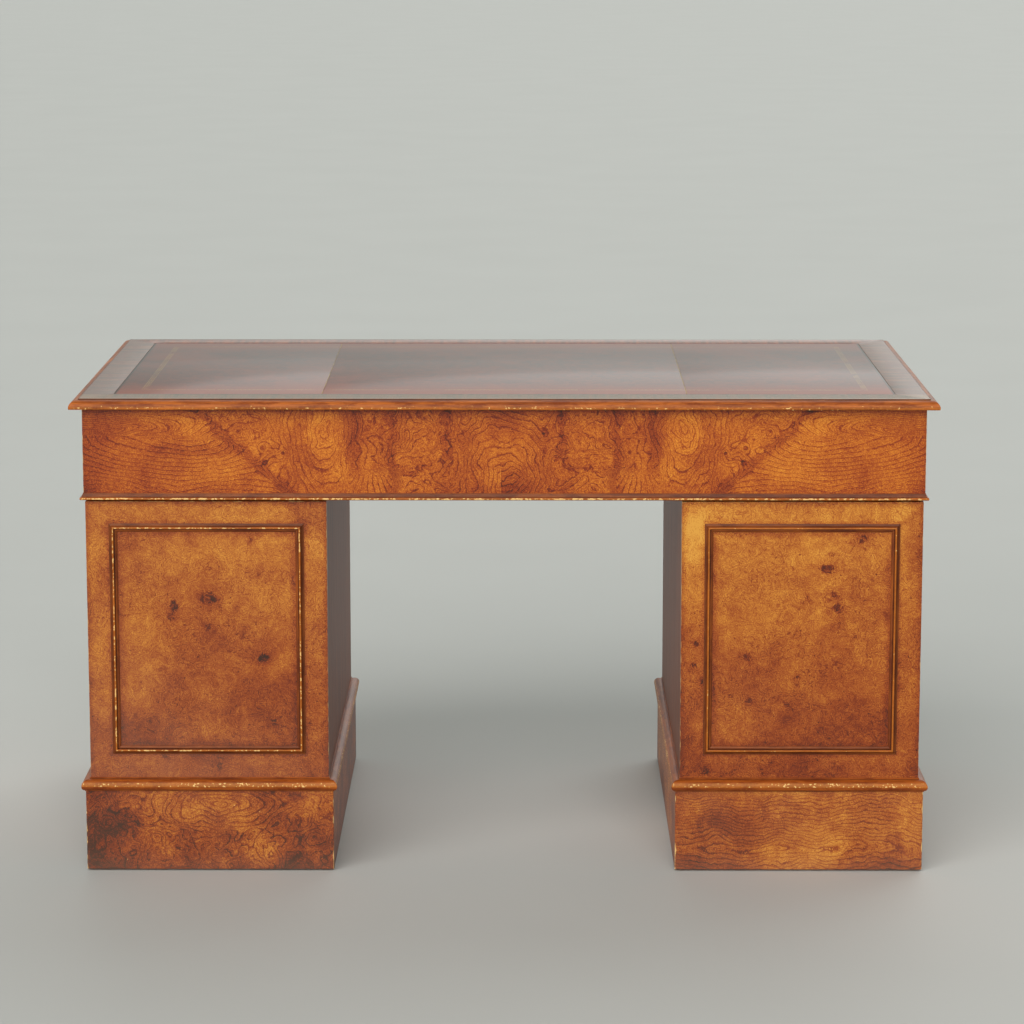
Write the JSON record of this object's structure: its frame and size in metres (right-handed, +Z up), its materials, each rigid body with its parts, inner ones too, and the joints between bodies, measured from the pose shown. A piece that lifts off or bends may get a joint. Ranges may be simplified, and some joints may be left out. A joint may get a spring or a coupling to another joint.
{
  "type": "pedestal writing desk",
  "caption": "Pedestal writing desk with a leather inset top, burr veneered panelled back and sliding drawers with swinging brass bail handles.",
  "frame": {"origin": "on the floor under the middle of the desk", "axes": "+Z up, +X along the width, drawers open towards +Y, the panelled back faces -Y"},
  "size_m": [1.372, 0.7, 0.771],
  "materials": {
    "top_veneer": "french-polished crossbanded walnut",
    "leather": "polished hide with gold tooling, worn",
    "frieze_veneer": "satin french-polished burr veneer",
    "rail_veneer": "satin polished walnut facings",
    "moulding": "polished moulding, worn pale on its ridges",
    "side_veneer": "satin polished straight-grained veneer",
    "panel_veneer": "satin french-polished burr veneer",
    "carcase_wood": "bare timber",
    "plinth_veneer": "satin french-polished burr veneer, darker",
    "drawer_front_veneer": "satin french-polished burr veneer",
    "drawer_lining": "waxed timber linings",
    "brass": "aged polished brass"
  },
  "bodies": {
    "carcase": {"top_board": "top_veneer", "leather_skiver": "leather", "frieze_back_board": "frieze_veneer", "frieze_end_left": "frieze_veneer", "frieze_end_right": "frieze_veneer", "frieze_drawer_frame": "rail_veneer", "frieze_bead_moulding": "moulding", "left_pedestal_side_outer": "side_veneer", "left_pedestal_side_inner": "side_veneer", "left_pedestal_back_panel": "panel_veneer", "left_pedestal_top_board": "carcase_wood", "left_pedestal_dust_board_upper": "rail_veneer", "left_pedestal_plinth": "plinth_veneer", "left_pedestal_plinth_moulding": "moulding", "left_pedestal_panel_moulding": "moulding", "right_pedestal_side_outer": "side_veneer", "right_pedestal_side_inner": "side_veneer", "right_pedestal_back_panel": "panel_veneer", "right_pedestal_top_board": "carcase_wood", "right_pedestal_dust_board_upper": "rail_veneer", "right_pedestal_plinth": "plinth_veneer", "right_pedestal_plinth_moulding": "moulding", "right_pedestal_panel_moulding": "moulding", "right_pedestal_dust_board_lower": "rail_veneer"},
    "frieze_left_drawer": {"frieze_left_drawer_front": "drawer_front_veneer", "frieze_left_drawer_box": "drawer_lining", "frieze_left_handle_plate": "brass"},
    "frieze_centre_drawer": {"frieze_centre_drawer_front": "drawer_front_veneer", "frieze_centre_drawer_box": "drawer_lining", "frieze_centre_left_handle_plate": "brass", "frieze_centre_right_handle_plate": "brass"},
    "frieze_right_drawer": {"frieze_right_drawer_front": "drawer_front_veneer", "frieze_right_drawer_box": "drawer_lining", "frieze_right_handle_plate": "brass"},
    "left_upper_drawer": {"left_upper_drawer_front": "drawer_front_veneer", "left_upper_drawer_box": "drawer_lining", "left_upper_handle_plate": "brass"},
    "left_filing_drawer": {"left_filing_drawer_front": "drawer_front_veneer", "left_filing_drawer_box": "drawer_lining", "left_filing_upper_handle_plate": "brass", "left_filing_lower_handle_plate": "brass"},
    "right_upper_drawer": {"right_upper_drawer_front": "drawer_front_veneer", "right_upper_drawer_box": "drawer_lining", "right_upper_handle_plate": "brass"},
    "right_middle_drawer": {"right_middle_drawer_front": "drawer_front_veneer", "right_middle_drawer_box": "drawer_lining", "right_middle_handle_plate": "brass"},
    "right_lower_drawer": {"right_lower_drawer_front": "drawer_front_veneer", "right_lower_drawer_box": "drawer_lining", "right_lower_handle_plate": "brass"},
    "frieze_left_bail": {"frieze_left_handle_bail": "brass"},
    "frieze_centre_left_bail": {"frieze_centre_left_handle_bail": "brass"},
    "frieze_centre_right_bail": {"frieze_centre_right_handle_bail": "brass"},
    "frieze_right_bail": {"frieze_right_handle_bail": "brass"},
    "left_upper_bail": {"left_upper_handle_bail": "brass"},
    "left_filing_upper_bail": {"left_filing_upper_handle_bail": "brass"},
    "left_filing_lower_bail": {"left_filing_lower_handle_bail": "brass"},
    "right_upper_bail": {"right_upper_handle_bail": "brass"},
    "right_middle_bail": {"right_middle_handle_bail": "brass"},
    "right_lower_bail": {"right_lower_handle_bail": "brass"}
  },
  "joints": [
    {"name": "frieze_left_drawer_slide", "type": "slide", "parent": "carcase", "child": "frieze_left_drawer", "axis": [0, 1, 0], "range_m": [0, 0.43]},
    {"name": "frieze_centre_drawer_slide", "type": "slide", "parent": "carcase", "child": "frieze_centre_drawer", "axis": [0, 1, 0], "range_m": [0, 0.43]},
    {"name": "frieze_right_drawer_slide", "type": "slide", "parent": "carcase", "child": "frieze_right_drawer", "axis": [0, 1, 0], "range_m": [0, 0.43]},
    {"name": "left_upper_drawer_slide", "type": "slide", "parent": "carcase", "child": "left_upper_drawer", "axis": [0, 1, 0], "range_m": [0, 0.43]},
    {"name": "left_filing_drawer_slide", "type": "slide", "parent": "carcase", "child": "left_filing_drawer", "axis": [0, 1, 0], "range_m": [0, 0.43]},
    {"name": "right_upper_drawer_slide", "type": "slide", "parent": "carcase", "child": "right_upper_drawer", "axis": [0, 1, 0], "range_m": [0, 0.43]},
    {"name": "right_middle_drawer_slide", "type": "slide", "parent": "carcase", "child": "right_middle_drawer", "axis": [0, 1, 0], "range_m": [0, 0.43]},
    {"name": "right_lower_drawer_slide", "type": "slide", "parent": "carcase", "child": "right_lower_drawer", "axis": [0, 1, 0], "range_m": [0, 0.43]},
    {"name": "frieze_left_bail_swing", "type": "hinge", "parent": "frieze_left_drawer", "child": "frieze_left_bail", "pos_m": [-0.4755, 0.3425, 0.6935], "axis": [1, 0, 0], "range_deg": [0, 80]},
    {"name": "frieze_centre_left_bail_swing", "type": "hinge", "parent": "frieze_centre_drawer", "child": "frieze_centre_left_bail", "pos_m": [-0.15, 0.3425, 0.6935], "axis": [1, 0, 0], "range_deg": [0, 80]},
    {"name": "frieze_centre_right_bail_swing", "type": "hinge", "parent": "frieze_centre_drawer", "child": "frieze_centre_right_bail", "pos_m": [0.15, 0.3425, 0.6935], "axis": [1, 0, 0], "range_deg": [0, 80]},
    {"name": "frieze_right_bail_swing", "type": "hinge", "parent": "frieze_right_drawer", "child": "frieze_right_bail", "pos_m": [0.4755, 0.3425, 0.6935], "axis": [1, 0, 0], "range_deg": [0, 80]},
    {"name": "left_upper_bail_swing", "type": "hinge", "parent": "left_upper_drawer", "child": "left_upper_bail", "pos_m": [-0.4735, 0.3405, 0.5405], "axis": [1, 0, 0], "range_deg": [0, 80]},
    {"name": "left_filing_upper_bail_swing", "type": "hinge", "parent": "left_filing_drawer", "child": "left_filing_upper_bail", "pos_m": [-0.4735, 0.3405, 0.397], "axis": [1, 0, 0], "range_deg": [0, 80]},
    {"name": "left_filing_lower_bail_swing", "type": "hinge", "parent": "left_filing_drawer", "child": "left_filing_lower_bail", "pos_m": [-0.4735, 0.3405, 0.2375], "axis": [1, 0, 0], "range_deg": [0, 80]},
    {"name": "right_upper_bail_swing", "type": "hinge", "parent": "right_upper_drawer", "child": "right_upper_bail", "pos_m": [0.4735, 0.3405, 0.5405], "axis": [1, 0, 0], "range_deg": [0, 80]},
    {"name": "right_middle_bail_swing", "type": "hinge", "parent": "right_middle_drawer", "child": "right_middle_bail", "pos_m": [0.4735, 0.3405, 0.397], "axis": [1, 0, 0], "range_deg": [0, 80]},
    {"name": "right_lower_bail_swing", "type": "hinge", "parent": "right_lower_drawer", "child": "right_lower_bail", "pos_m": [0.4735, 0.3405, 0.2375], "axis": [1, 0, 0], "range_deg": [0, 80]}
  ]
}
